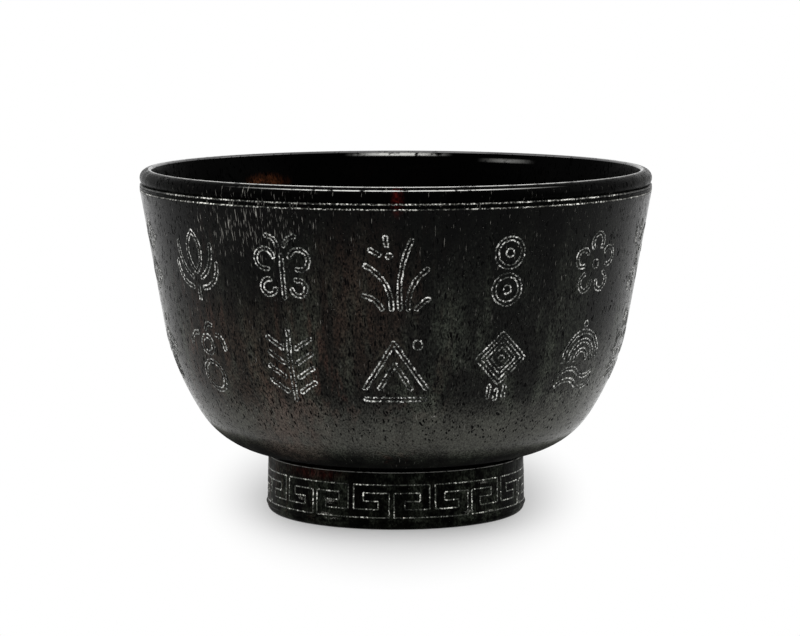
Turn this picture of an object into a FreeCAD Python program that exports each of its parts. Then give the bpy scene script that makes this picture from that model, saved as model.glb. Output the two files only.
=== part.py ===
import FreeCAD, Part
import math
import os

# An inlaid rosewood cup: a turned bowl with a rounded lip, glued by a round tenon into a turned foot
# ring, with hammered silver wire let into grooves. Millimetres. The origin is the centre of the
# foot's underside, +Z is up, and -Y is the front. Angles run from the front towards +X.

# Bowl, from the lip down
cup_height = 56.2
lip_diameter = 83.3
lip_round = 1.4  # radius of the lip's outer roll
lip_height = 2.45  # from the crest down to the notch under the roll
lip_inner_diameter = 79.6
lip_inner_round = 0.4
bead_height = 1.05  # the narrow raised band under the notch, both hoops included
bead_diameter = 83.3
wall_top_diameter = 83.2
wall_lean = 10.0  # degrees from upright, of the straight upper wall
wall_thickness = 2.6

# The outside of the bowl from the tenon's neck (0) to the top of the wall (1). The wall is straight
# down to the first height and part of a ball down to the second. Then it curves in through two
# places, given across and up.
straight_end_share = 0.5035
ball_end_share = 0.267
belly_shares = (0.5765, 0.158)
underside_shares = (0.065, 0.0)

# Tenon under the bowl, and the shadow line above the foot ring
tenon_diameter = 38.0
tenon_length = 5.1
tenon_clearance = 0.05
base_hollow_diameter = 34.0
base_hollow_depth = 0.7

# Foot ring
foot_height = 9.35
foot_gap = 0.65  # the dark line between the ring and the bowl's underside
foot_top_diameter = 41.9
foot_low_diameter = 42.2
foot_bore_diameter = 35.2
foot_edge_round = 0.2
foot_bead_diameter = 42.6
foot_bead_low = 1.15
foot_bead_high = 1.85
foot_base_round = 1.15
foot_mouth_bevel = 0.6

# Silver wire
wire_width = 0.24
wire_depth = 0.7
wire_proud = 0.04  # how far the polished wire stands above the wood
hoop_width = 0.26

# The key fret round the foot ring
fret_repeats = 10
fret_turn = -1.8  # degrees by which the first repeat is turned away from the front
fret_low = 2.05
fret_high = 7.3

# The ornaments round the wall
column_count = 14
ornament_height = 12.2
stroke_width = 0.85  # an ornament's stroke is this wide, and its wire runs round its edge
upper_row_height = 43.0
lower_row_height = 28.2

# Length by which the ornaments' prisms start outside the bowl
overrun = 1.0

# One repeat of the key fret: along the repeat (0 to 1), then up the band (0 to 1)
fret_shares = [
    (0.0, 0.0), (0.47, 0.0), (0.47, 0.75), (0.155, 0.75), (0.155, 0.5), (0.34, 0.5), (0.34, 0.25),
    (0.035, 0.25), (0.035, 1.0), (0.965, 1.0), (0.965, 0.25), (0.66, 0.25), (0.66, 0.5),
    (0.845, 0.5), (0.845, 0.75), (0.53, 0.75), (0.53, 0.0), (1.0, 0.0),
]

joined = wire_proud / 10  # ends of edges that are closer than this already meet
centre = FreeCAD.Vector(0, 0, 0)
up = FreeCAD.Vector(0, 0, 1)
half_turn = 180
full_turn = 360


# Outlines in the half plane through the axis: x is the radius and z the height

def point(radius, height):
    return FreeCAD.Vector(radius, 0, height)


def line(start, end):
    return Part.makeLine(start, end)


def arc(start, middle, end):
    return Part.Arc(start, middle, end).toShape()


def tangent_arc(start, heading, end):
    """The arc that leaves start along heading and reaches end, and its heading there."""
    chord = end - start
    along = FreeCAD.Vector(chord).normalize()
    across = heading - along * heading.dot(along)
    turn = math.atan2(across.Length, heading.dot(along))
    rise = chord.Length / 2 * math.tan(turn / 2)
    middle = (start + end) / 2 + across.normalize() * rise
    return arc(start, middle, end), along * (2 * heading.dot(along)) - heading


def corner_round(before, corner, after, radius):
    """A corner rounded by an arc: the arc, and the points where it leaves the two straight sides."""
    back = (before - corner).normalize()
    ahead = (after - corner).normalize()
    half_angle = back.getAngle(ahead) / 2
    reach = radius / math.tan(half_angle)
    start = corner + back * reach
    end = corner + ahead * reach
    inward = (back + ahead).normalize()
    middle = corner + inward * (radius / math.sin(half_angle) - radius)
    return arc(start, middle, end), start, end


def offset_edge(edge, distance):
    """An edge of the wall moved into the bowl, or out of it by a negative distance."""
    moved = []
    for parameter in (edge.FirstParameter, middle_of(edge), edge.LastParameter):
        heading = edge.tangentAt(parameter)
        moved.append(edge.valueAt(parameter) + point(heading.z, -heading.x) * distance)
    if isinstance(edge.Curve, Part.Line):
        return line(moved[0], moved[-1])
    return arc(*moved)


def ends(edge):
    return edge.valueAt(edge.FirstParameter), edge.valueAt(edge.LastParameter)


def chain(edges):
    """Edges in order, each joined to the next by a straight line where they don't meet."""
    whole = []
    for edge in edges:
        if whole:
            gap_start = ends(whole[-1])[1]
            if gap_start.distanceToPoint(ends(edge)[0]) > joined:
                whole.append(line(gap_start, ends(edge)[0]))
        whole.append(edge)
    if ends(whole[-1])[1].distanceToPoint(ends(whole[0])[0]) > joined:
        whole.append(line(ends(whole[-1])[1], ends(whole[0])[0]))
    return Part.Wire(whole)


def turned(edges, start_angle=0, sweep=full_turn):
    """The solid turned from a closed outline. Angle 0 is the front."""
    solid = Part.Face(chain(edges)).revolve(centre, up, sweep)
    solid.rotate(centre, up, start_angle - half_turn / 2)
    return solid


def polygon(points):
    return [line(a, b) for a, b in zip(points, points[1:] + points[:1])]


# The bowl

wall_top_height = cup_height - lip_height - bead_height
underside_height = foot_height + foot_gap
neck_radius = tenon_diameter / 2


def wall_point(shares):
    across, rise = shares
    radius = neck_radius + across * (wall_top_diameter / 2 - neck_radius)
    return point(radius, underside_height + rise * (wall_top_height - underside_height))


def wall_edges():
    """The outside of the bowl from the bead down to the underside, each edge tangent to the next."""
    lean = math.radians(wall_lean)
    top = point(wall_top_diameter / 2, wall_top_height)
    straight_drop = (1 - straight_end_share) * (wall_top_height - underside_height)
    shoulder = top - point(straight_drop * math.tan(lean), straight_drop)
    edges = [line(top, shoulder)]

    hub_height = shoulder.z + shoulder.x * math.tan(lean)
    ball_radius = shoulder.x / math.cos(lean)

    def on_ball(height):
        return point(math.sqrt(ball_radius**2 - (hub_height - height) ** 2), height)

    start = on_ball(wall_point((0, ball_end_share)).z)
    edges.append(arc(shoulder, on_ball((shoulder.z + start.z) / 2), start))
    heading = point(start.z - hub_height, -start.x).normalize()
    for shares in (belly_shares, underside_shares):
        edge, heading = tangent_arc(start, heading, wall_point(shares))
        start = wall_point(shares)
        edges.append(edge)
    return edges


def lip_roll():
    """The lip's outer roll, from the notch up to the crest."""
    hub = point(lip_diameter / 2 - lip_round, cup_height - lip_round)
    drop = lip_height - lip_round
    notch = point(hub.x + math.sqrt(lip_round**2 - drop**2), hub.z - drop)
    crest = point(hub.x, cup_height)
    return arc(notch, hub + point(lip_round, 0), crest)


def bowl_outline():
    """The turned bowl's outline, with the two grooves for the rim's hoops."""
    outer = wall_edges()
    inner = [offset_edge(edge, wall_thickness) for edge in outer]
    floor = point(0, ends(inner[-1])[1].z)
    mouth = point(lip_inner_diameter / 2, cup_height)
    roll = lip_roll()
    edge_round, _, _ = corner_round(ends(roll)[1], mouth, ends(inner[0])[0], lip_inner_round)
    groove_radius = wall_top_diameter / 2 - wire_depth
    groove_tops = (cup_height - lip_height, wall_top_height + hoop_width)
    grooves = [
        line(point(groove_radius, top), point(groove_radius, top - hoop_width)) for top in groove_tops
    ]
    bead_top = point(bead_diameter / 2, groove_tops[0] - hoop_width)
    bead_foot = point(bead_diameter / 2, groove_tops[1])
    tenon_foot = underside_height - tenon_length
    hollow = arc(
        point(-base_hollow_diameter / 2, tenon_foot),
        point(0, tenon_foot + base_hollow_depth),
        point(base_hollow_diameter / 2, tenon_foot),
    )
    hollow_half = hollow.split(middle_of(hollow)).Edges[1]
    edges = [line(point(0, tenon_foot + base_hollow_depth), point(0, floor.z))]
    edges += [line(floor, ends(inner[-1])[1])]
    edges += [reverse(edge) for edge in reversed(inner)]
    edges += [reverse(edge_round), reverse(roll)]
    edges += [grooves[0], line(bead_top, bead_foot), grooves[1]]
    edges += outer
    edges += [line(point(neck_radius, underside_height), point(neck_radius, tenon_foot))]
    edges += [reverse(hollow_half)]
    return edges


def grooved(outline, wires_by_sector):
    """A solid turned from an outline, cut by the wires of each sector in turn, the first in front."""
    sector_angle = full_turn / len(wires_by_sector)
    blank = turned(outline, -sector_angle / 2, sector_angle)
    cut_sectors = {}
    sectors = []
    for index, wires in enumerate(wires_by_sector):
        if id(wires) not in cut_sectors:
            cut_sectors[id(wires)] = blank.cut(wires.Solids)
        sectors.append(turned_to(cut_sectors[id(wires)], index * sector_angle))
    return sectors[0].fuse(sectors[1:]).removeSplitter()


def middle_of(edge):
    return (edge.FirstParameter + edge.LastParameter) / 2


def reverse(edge):
    """The same stretch of outline, drawn the other way."""
    start, end = ends(edge)
    if isinstance(edge.Curve, Part.Circle):
        return arc(end, edge.valueAt(middle_of(edge)), start)
    return line(end, start)


# The foot ring

def foot_wall_radius(height):
    """The radius of the foot's outer wall, which flares a little towards the floor."""
    share = (height - foot_bead_high) / (foot_height - foot_bead_high)
    return (foot_low_diameter + share * (foot_top_diameter - foot_low_diameter)) / 2


def foot_outline():
    """The turned foot ring's outline."""
    bore = foot_bore_diameter / 2
    seat = tenon_diameter / 2 + tenon_clearance
    seat_height = underside_height - tenon_length
    low_radius = foot_wall_radius(foot_bead_low)
    top_corner = point(foot_wall_radius(foot_height), foot_height)
    base_corner = point(low_radius, 0)
    top_round, _, _ = corner_round(
        point(seat, foot_height), top_corner, point(foot_low_diameter / 2, 0), foot_edge_round
    )
    base_round, _, _ = corner_round(
        point(low_radius, foot_bead_low), base_corner, point(bore, 0), foot_base_round
    )
    bead = arc(
        point(foot_wall_radius(foot_bead_high), foot_bead_high),
        point(foot_bead_diameter / 2, (foot_bead_low + foot_bead_high) / 2),
        point(low_radius, foot_bead_low),
    )
    edges = [line(point(bore, foot_mouth_bevel), point(bore, seat_height))]
    edges += [line(point(bore, seat_height), point(seat, seat_height))]
    edges += [line(point(seat, seat_height), point(seat, foot_height))]
    edges += [top_round, bead, base_round]
    edges += [line(point(bore + foot_mouth_bevel, 0), point(bore, foot_mouth_bevel))]
    return edges


# Silver hoops round the rim

def hoop(top):
    """A hoop of wire that fills its groove and stands a little proud."""
    inner = wall_top_diameter / 2 - wire_depth
    outer = wall_top_diameter / 2 + wire_proud
    low = top - hoop_width
    return turned(polygon([point(inner, low), point(outer, low), point(outer, top), point(inner, top)]))


# The key fret

def fret_wire():
    """The wire of one repeat of the fret, at the front."""
    pitch = full_turn / fret_repeats
    half_width = wire_width / 2
    middle_radius = foot_wall_radius((fret_low + fret_high) / 2)
    half_width_angle = math.degrees(half_width / middle_radius)
    places = [(pitch * along, fret_low + rise * (fret_high - fret_low)) for along, rise in fret_shares]

    def run(start, end):
        angles = sorted((start[0], end[0]))
        heights = sorted((start[1], end[1]))
        low = heights[0] - half_width
        high = heights[1] + half_width
        first = max(angles[0] - half_width_angle, 0)
        last = min(angles[1] + half_width_angle, pitch)
        corners = [
            point(foot_wall_radius(low) - wire_depth, low),
            point(foot_wall_radius(low) + wire_proud, low),
            point(foot_wall_radius(high) + wire_proud, high),
            point(foot_wall_radius(high) - wire_depth, high),
        ]
        return turned(polygon(corners), first - pitch / 2, last - first)

    runs = [run(start, end) for start, end in zip(places, places[1:])]
    return runs[0].fuse(runs[1:]).removeSplitter()


# Ornament strokes, drawn in shares of the ornament's height: x across, then z up

def place(across_share, up_share):
    return FreeCAD.Vector(across_share * ornament_height, 0, up_share * ornament_height)


def ring_face(outlines):
    """The flat face between two closed outlines, one inside the other."""
    return Part.makeFace(outlines, "Part::FaceMakerBullseye")


def bend(*shares):
    """A stroke of straight runs through the places given."""
    stops = [place(*stop) for stop in shares]
    return Part.Wire([line(a, b) for a, b in zip(stops, stops[1:])])


def loop(*shares):
    """A closed stroke of straight runs."""
    return bend(*shares, shares[0])


def curve(*shares):
    """A stroke of arcs: start, then a middle and an end for each arc."""
    stops = [place(*stop) for stop in shares]
    edges = [arc(stops[i], stops[i + 1], stops[i + 2]) for i in range(0, len(stops) - 2, 2)]
    return Part.Wire(edges)


def round_stroke(across_share, up_share, radius_share, facing=90, sweep=full_turn):
    """A stroke along part of a circle, its middle facing the angle given, or a whole circle."""
    hub = place(across_share, up_share)
    radius = radius_share * ornament_height
    if sweep == full_turn:
        return Part.Wire(Part.makeCircle(radius, hub, FreeCAD.Vector(0, 1, 0)))
    stops = []
    for turn in (facing - sweep / 2, facing, facing + sweep / 2):
        angle = math.radians(turn)
        stops.append(hub + FreeCAD.Vector(math.cos(angle), 0, math.sin(angle)) * radius)
    return Part.Wire(arc(*stops))


def both_sides(strokes):
    """The strokes and their mirror images across the ornament's middle."""
    across = FreeCAD.Vector(1, 0, 0)
    return strokes + [Part.Wire(stroke.mirror(centre, across).Edges) for stroke in strokes]


def small_ring(across_share, up_share, radius_share=0.05):
    """A single ring of wire, without the second line that the wider strokes have."""
    ring = round_stroke(across_share, up_share, radius_share)
    ring_radius = radius_share * ornament_height
    inner = Part.Wire(
        Part.makeCircle(ring_radius - wire_width, place(across_share, up_share), FreeCAD.Vector(0, 1, 0))
    )
    return ring_face([ring, inner])


def wave(height_share):
    """A long shallow S lying on its side."""
    rise = 0.065
    return curve(
        (-0.36, height_share), (-0.18, height_share + rise), (0, height_share),
        (0.18, height_share - rise), (0.36, height_share),
    )


def lotus():
    petals = [curve((-0.34, 0.27), (-0.29, 0.02), (-0.1, -0.17))]
    petals += [curve((-0.42, 0.02), (-0.33, -0.2), (-0.12, -0.3))]
    middle = curve((0, 0.42), (0.13, 0.14), (0, -0.1), (-0.13, 0.14), (0, 0.42))
    return both_sides(petals) + [middle, bend((0, -0.3), (0, -0.45))]


def double_coin():
    parts = []
    for height_share in (0.235, -0.235):
        parts += [round_stroke(0, height_share, 0.183), small_ring(0, height_share, 0.065)]
    return parts


def orchid():
    leaves = [
        curve((-0.05, -0.45), (-0.15, -0.1), (-0.38, 0.1)),
        curve((0.06, -0.45), (0.06, -0.05), (0.2, 0.42)),
        curve((0.16, -0.45), (0.22, -0.15), (0.4, 0.05)),
        curve((-0.17, -0.45), (-0.27, -0.34), (-0.4, -0.28)),
        curve((0.27, -0.45), (0.33, -0.38), (0.41, -0.33)),
    ]
    petals = [bend((-0.2, 0.24), (-0.32, 0.3)), bend((-0.11, 0.36), (-0.13, 0.46))]
    return leaves + petals + [small_ring(-0.08, 0.22)]


def butterfly():
    wings = [round_stroke(0.24, 0.15, 0.13, 30, 270), round_stroke(0.21, -0.21, 0.1, -30, 270)]
    feelers = [curve((0.05, 0.33), (0.1, 0.41), (0.2, 0.45))]
    return both_sides(wings + feelers) + [bend((0, 0.2), (0, -0.34))]


def lozenges():
    parts = []
    for middle in (0.25, -0.25):
        diamond = loop((-0.3, middle), (0, middle + 0.18), (0.3, middle), (0, middle - 0.18))
        parts += [diamond, small_ring(0, middle)]
    return parts


def plum_blossom():
    petals = []
    for petal in range(5):
        facing = 90 + petal * full_turn / 5
        angle = math.radians(facing)
        reach_share = 0.285
        petals.append(
            round_stroke(reach_share * math.cos(angle), reach_share * math.sin(angle), 0.11, facing, 250)
        )
    return petals + [small_ring(0, 0, 0.07)]


def bamboo():
    stem = [bend((-0.08, 0.45), (-0.08, 0.21)), bend((-0.08, 0.1), (-0.08, -0.14))]
    stem += [bend((-0.08, -0.25), (-0.08, -0.45))]
    leaves = [
        curve((0.03, 0.19), (0.13, 0.29), (0.3, 0.36)),
        curve((0.04, 0.06), (0.19, 0.09), (0.36, 0.03)),
        curve((0.03, -0.1), (0.14, -0.17), (0.24, -0.33)),
        curve((-0.19, 0.13), (-0.29, 0.21), (-0.34, 0.36)),
        curve((-0.19, -0.18), (-0.27, -0.26), (-0.3, -0.41)),
    ]
    return stem + leaves


def ruyi_cloud():
    scrolls = both_sides([round_stroke(-0.2, 0.04, 0.14, half_turn, 280)])
    crown = round_stroke(0, 0.31, 0.14, 90, 210)
    return scrolls + [crown, small_ring(0, 0.31), wave(-0.26), wave(-0.385)]


def pine_spray():
    needles = []
    for rank in range(4):
        height_share = 0.26 - 0.19 * rank
        needles += [bend((0.1, height_share - 0.04), (0.3, height_share + 0.09))]
    return both_sides(needles) + [bend((0, 0.44), (0, -0.45))]


def endless_knot():
    middle = 0.09
    squares = []
    for reach in (0.32, 0.175):
        corners = [(-reach, middle), (0, middle + reach), (reach, middle), (0, middle - reach)]
        squares.append(loop(*corners))
    tassels = both_sides([bend((0.11, -0.28), (0.11, -0.42))])
    return squares + tassels + [bend((0, -0.34), (0, -0.45)), small_ring(0, middle)]


def waves():
    arches = []
    for reach_share in (0.36, 0.24, 0.12):
        arches.append(round_stroke(0, -0.03, reach_share, 90, half_turn))
    return arches + [wave(-0.21), wave(-0.36), small_ring(0, 0.43)]


def gourd():
    body = [round_stroke(0, 0.16, 0.11), round_stroke(0, -0.25, 0.19)]
    tendril = curve((0.0, 0.37), (0.04, 0.42), (0.12, 0.43))
    leaves = [
        curve((0.21, 0.3), (0.3, 0.25), (0.34, 0.13)),
        curve((-0.19, 0.3), (-0.3, 0.27), (-0.36, 0.15)),
    ]
    return body + [tendril] + leaves


def chime():
    plate = [bend((-0.36, 0.04), (0, 0.22), (0.36, 0.04)), bend((-0.3, -0.09), (0, 0.07), (0.3, -0.09))]
    tassels = both_sides([bend((0.13, -0.15), (0.13, -0.38))]) + [bend((0, -0.05), (0, -0.45))]
    return plate + tassels + [small_ring(0, 0.38)]


def mountains():
    peaks = [bend((-0.38, -0.27), (-0.02, 0.32), (0.38, -0.27))]
    peaks += [bend((-0.2, -0.27), (-0.01, 0.04), (0.19, -0.27))]
    return peaks + [bend((-0.37, -0.42), (0.37, -0.42)), small_ring(0.28, 0.3, 0.07)]


# Half of each row, from the front round to the right. The other half repeats it.
upper_row = [orchid, double_coin, plum_blossom, bamboo, lozenges, lotus, butterfly]
lower_row = [mountains, endless_knot, waves, ruyi_cloud, chime, gourd, pine_spray]


def stadium(start, end, half_width):
    """The outline round one straight stroke: two sides and two round ends."""
    along = (end - start).normalize() * half_width
    side = FreeCAD.Vector(-along.z, 0, along.x)
    return Part.Wire([
        line(start + side, end + side),
        arc(end + side, end + along, end - side),
        line(end - side, start - side),
        arc(start - side, start - along, start + side),
    ])


def stroke_faces(stroke):
    """The flat loops of wire that edge one stroke."""
    if isinstance(stroke, Part.Face):
        return [stroke]
    outside = stroke_width / 2
    inside = outside - wire_width
    if stroke.isClosed():
        rings = [stroke.makeOffset2D(reach) for reach in (outside, inside, -inside, -outside)]
        return [ring_face(rings[:2]), ring_face(rings[2:])]
    if len(stroke.Edges) == 1 and isinstance(stroke.Edges[0].Curve, Part.Line):
        start, end = ends(stroke.Edges[0])
        return [ring_face([stadium(start, end, outside), stadium(start, end, inside)])]
    return [ring_face([stroke.makeOffset2D(reach) for reach in (outside, inside)])]


def wire_shell():
    """The layer of the wall that the wires fill, as a turned wedge at the front."""
    wedge = full_turn / column_count
    outer = [offset_edge(edge, -wire_proud) for edge in wall_edges()[:2]]
    inner = [offset_edge(edge, wire_depth) for edge in wall_edges()[:2]]
    return turned(outer + [reverse(edge) for edge in reversed(inner)], -wedge / 2, wedge)


def ornament(draw, row_height):
    """The wires of one ornament, at the front."""
    front = FreeCAD.Vector(0, -lip_diameter / 2 - overrun, row_height)
    through = FreeCAD.Vector(0, lip_diameter / 2, 0)
    prisms = []
    for stroke in draw():
        for face in stroke_faces(stroke):
            face.translate(front)
            prisms.append(face.extrude(through))
    return Part.makeCompound(prisms).common(wire_shell())


def turned_to(shape, angle):
    copy = shape.copy()
    copy.rotate(centre, up, angle)
    return copy


def save(shape, name):
    solids = shape.Solids
    whole = solids[0] if len(solids) == 1 else Part.makeCompound(solids)
    whole.exportStep(os.path.join("parts", name + ".step"))


def main():
    os.makedirs("parts", exist_ok=True)
    column_angle = full_turn / column_count
    row_heights = (upper_row_height, lower_row_height)
    columns = []
    for column, draws in enumerate(zip(upper_row, lower_row)):
        wires = [ornament(draw, height) for draw, height in zip(draws, row_heights)]
        columns.append(Part.makeCompound(wires))
        for draw, wire in zip(draws, wires):
            save(turned_to(wire, column * column_angle), f"inlay_{draw.__name__}_first")
            save(turned_to(wire, column * column_angle + half_turn), f"inlay_{draw.__name__}_second")
    save(grooved(bowl_outline(), columns + columns), "cup_bowl")
    save(hoop(cup_height - lip_height), "rim_wire_upper")
    save(hoop(wall_top_height + hoop_width), "rim_wire_lower")

    wire = fret_wire()
    for repeat in range(fret_repeats):
        angle = fret_turn + repeat * full_turn / fret_repeats
        save(turned_to(wire, angle), f"fret_wire_{repeat + 1:02d}")
    save(turned_to(grooved(foot_outline(), [wire] * fret_repeats), fret_turn), "foot_ring")


main()
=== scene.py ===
import bpy
import math
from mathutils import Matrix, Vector


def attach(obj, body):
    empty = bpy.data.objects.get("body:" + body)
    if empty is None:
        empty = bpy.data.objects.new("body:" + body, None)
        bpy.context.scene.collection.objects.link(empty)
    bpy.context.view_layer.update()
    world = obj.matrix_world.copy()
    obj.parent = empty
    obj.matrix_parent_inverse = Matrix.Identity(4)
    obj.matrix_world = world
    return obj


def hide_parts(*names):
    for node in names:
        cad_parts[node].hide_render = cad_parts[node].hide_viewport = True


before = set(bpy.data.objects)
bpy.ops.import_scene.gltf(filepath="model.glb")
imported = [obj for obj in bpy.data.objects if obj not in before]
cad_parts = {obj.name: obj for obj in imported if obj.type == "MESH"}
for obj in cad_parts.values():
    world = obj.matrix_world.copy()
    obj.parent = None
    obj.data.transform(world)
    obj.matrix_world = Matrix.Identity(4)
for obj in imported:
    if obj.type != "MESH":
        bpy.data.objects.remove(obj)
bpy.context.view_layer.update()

mm = 0.001  # the outlines below are in millimetres, the scene is in metres
fullTurn = 2 * math.pi
noiseMean = 0.5  # a noise node's values lie about this
print("frame loaded:", len(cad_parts), "CAD pieces")


# Small helpers for node trees

def addNode(tree, kind, feeds=None, **options):
    node = tree.nodes.new(kind)
    for option, value in options.items():
        setattr(node, option, value)
    for key, value in (feeds or {}).items():
        feed(tree, value, node.inputs[key])
    return node


def feed(tree, value, socket):
    if isinstance(value, bpy.types.NodeSocket):
        tree.links.new(value, socket)
    else:
        socket.default_value = value


def maths(tree, operation, first, second=0.0, third=0.0):
    node = addNode(tree, "ShaderNodeMath", {0: first, 1: second, 2: third}, operation=operation)
    return node.outputs[0]


def product(tree, first, *others):
    for other in others:
        first = maths(tree, "MULTIPLY", first, other)
    return first


def vectorMaths(tree, operation, first, second=(0, 0, 0)):
    node = addNode(tree, "ShaderNodeVectorMath", {0: first, 1: second}, operation=operation)
    return node.outputs["Value" if operation in ("LENGTH", "DOT_PRODUCT") else "Vector"]


def scaledVector(tree, vector, factor):
    feeds = {0: vector, "Scale": factor}
    return addNode(tree, "ShaderNodeVectorMath", feeds, operation="SCALE").outputs[0]


def combine(tree, x, y, z):
    return addNode(tree, "ShaderNodeCombineXYZ", {0: x, 1: y, 2: z}).outputs[0]


def separate(tree, vector):
    return addNode(tree, "ShaderNodeSeparateXYZ", {0: vector}).outputs


def stretched(tree, coordinates, scale, shift=(0, 0, 0)):
    feeds = {"Vector": coordinates, "Scale": scale, "Location": shift}
    return addNode(tree, "ShaderNodeMapping", feeds).outputs[0]


def noise(tree, coordinates, scale, shift=(0, 0, 0), detail=2.0, rough=0.5, bend=0.0):
    # scale is one number, or a tuple with one for each axis
    if isinstance(scale, tuple):
        coordinates = stretched(tree, coordinates, scale, shift)
        scale = 1.0
    feeds = {
        "Vector": coordinates, "Scale": scale, "Detail": detail, "Roughness": rough,
        "Distortion": bend,
    }
    return addNode(tree, "ShaderNodeTexNoise", feeds).outputs["Fac"]


def ramp(tree, value, low, high, start=0.0, end=1.0):
    # goes smoothly from start, where the value is low, to end, where it is high
    feeds = {"Value": value, "From Min": low, "From Max": high, "To Min": start, "To Max": end}
    return addNode(tree, "ShaderNodeMapRange", feeds, interpolation_type="SMOOTHSTEP").outputs[0]


def blendColours(tree, factor, first, second):
    node = addNode(tree, "ShaderNodeMix", {0: factor, 6: first, 7: second}, data_type="RGBA")
    return node.outputs[2]


# Finishes

def newMaterial(name, previewColour):
    material = bpy.data.materials.new(name)
    material.use_nodes = True
    material.diffuse_color = (*previewColour, 1)
    tree = material.node_tree
    tree.nodes.clear()
    shader = addNode(tree, "ShaderNodeBsdfPrincipled")
    addNode(tree, "ShaderNodeOutputMaterial", {"Surface": shader.outputs[0]})
    place = addNode(tree, "ShaderNodeTexCoord").outputs["Object"]
    return material, tree, shader, stretched(tree, place, (1 / mm, 1 / mm, 1 / mm))


rosewoodLook = {
    "nearBlack": (0.0022, 0.0023, 0.0020, 1),
    "olive": (0.0105, 0.0118, 0.0092, 1),
    "redBrown": (0.026, 0.0105, 0.0080, 1),
    "openVessel": (0.0004, 0.0004, 0.0004, 1),
    "paintedBellyLight": (0.090, 0.090, 0.078, 1),  # painted light: the pale band round the lower belly
    "residue": (0.34, 0.33, 0.30, 1),  # pale dust left in the open grain
    "paintedHighlightColour": (0.90, 0.90, 0.86, 1),  # colour of the painted highlights along edges
    "paintedShade": (0.15, 3.1),  # painted shade and light: how light the wood is painted under the rim, and at the belly
    "paintedShadeHeights": (54, 20),  # the heights that these two are for
    "paintedUnderShade": 0.1,  # painted shade: how light it is on the underside
    "paintedLipShade": 0.3,  # and painted shade on the lip
    "redness": 0.35,
    "mottle": 0.35,
    # how strongly the belly's painted light shows, and how rough the underside turns
    "paintedBellyLightAndRoughness": 0.85,
    "gloss": 0.05,
    "roughness": (0.06, 0.18),
    "poreSize": (0.40, 0.40, 2.0),  # spacing of the wood's vessels, along x, y and the grain
    "poreDepth": 0.09,
    "rimScratches": 1.0,
    "specks": 0.8,
    "stainsAndPaintedLight": [],  # stains and patches of painted light: place, size, strength, colour
    "paintedHighlights": [],  # painted highlights along edges: height, half width, strength, place, size
    "scuffs": [],  # place, size
}


# noises that every wooden surface has, with the scale in repeats a millimetre
woodPatterns = {
    "bands": {"scale": (0.22, 0.22, 0.018), "detail": 3.0, "rough": 0.55, "bend": 0.4},
    "streaks": {"scale": (0.75, 0.75, 0.022), "shift": (4, 1, 0)},
    "patches": {"scale": (0.07, 0.07, 0.035), "shift": (3.1, 0.7, 2.2)},
    "fibres": {"scale": (5.0, 5.0, 0.30), "detail": 3.0, "rough": 0.6},
    "sand": {"scale": (4.0, 4.0, 2.0), "shift": (2, 2, 2), "rough": 0.6},
    "mottle": {"scale": 0.8, "detail": 3.0, "rough": 0.6},
    "wander": {"scale": 0.5, "detail": 1.0},
    "polish": {"scale": 0.35, "detail": 3.0},
    "ripple": {"scale": (0.05, 0.05, 1.6)},
}

# where each mark shows: a pair holds the two ends of a ramp, in a noise's values or in
# millimetres, and two more numbers are what the ramp gives there
woodMarks = {
    "oliveBands": (0.40, 0.64),
    "mottle": (0.35, 0.65),
    "redPatches": (0.42, 0.62),
    "redStreaks": (0.50, 0.66),
    "redSide": (-4, 12),  # x, from where the red is full to where it is gone
    "darkFibres": (0.40, 0.70, 0.0, 0.6),
    # heights where the painted shade on the lip starts and where it is full
    "lip": (53.4, 54.0),
    "tilt": 0.028,  # the next three and the vessels sit this much higher at the left, by x, as the painted shade under the belly reaches higher there
    # heights of the painted shade under the belly: full at the first, gone at the second
    "underside": (11.0, 14.5),
    # where the belly's painted light ends below, and where the underside turns rough
    "bellyLightFoot": (12.3, 15.8),
    "dryRoughness": (15.3, 13.0),
    # where the belly's painted light ends above, and how it follows the wood's bands
    "bellyLightTop": (24, 16.5),
    "bellyLightBands": (0.2, 0.7, 0.6, 1.0),
    "patchStreaks": (0.30, 0.62, 0.25, 1.0),
    "sanded": (0.32, 0.69, 0.18, 2.5),
    "sandHidden": 0.85,  # how much the belly's painted light hides the sanded grain
    "wander": 1.5,  # how far the vessels stray from their rows
    "poreReach": (0.15, 0.90, 0.04, 0.40),  # by each cell's chance
    "poreEdge": (0.0, 0.05),
    "poresShown": (12.5, 18, 0.25, 1.0),
    "poreRoughness": 0.7,
    "wallRadius": 40.0,  # about the middle of the wall, where the scratches are drawn
    "scratches": {"scale": (8.0, 8.0, 0.60), "shift": (1.3, 5.2, 0.4), "detail": 1.0},
    "scratched": (0.72, 0.84),
    "wornSpot": ((-22, -34, 49.5), (18, 16, 10.5)),  # place and size, where scratches gather
    "wornHeights": (39, 48),
    "wornStrength": 0.13,
    "speckSpacing": (1.9, 1.9, 2.3),
    "speckSizes": (0.55, 1.0, 0.012, 0.075),  # by each cell's chance
    "speckCore": 0.01,
    "grit": {"scale": 6.0, "rough": 0.6},
    "gritShown": (0.72, 0.80),
    "scuffStrength": 0.3,
    "breaks": {"scale": 0.55, "detail": 5.0, "rough": 0.75},
    "unbroken": (0.36, 0.50),
    "lineCore": 0.3,  # the full middle of a painted highlight line, as a share of its half width
    "polished": (0.3, 0.7),
    "relief": {"fibres": 0.25, "sand": 0.35, "ripple": 0.10},
}


def spot(tree, place, centre, size):
    # 1 at a place on the piece, fading to 0 at the size given, all in millimetres
    scaled = vectorMaths(tree, "DIVIDE", vectorMaths(tree, "SUBTRACT", place, centre), size)
    return ramp(tree, vectorMaths(tree, "LENGTH", scaled), 1.0, 0.0)


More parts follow.
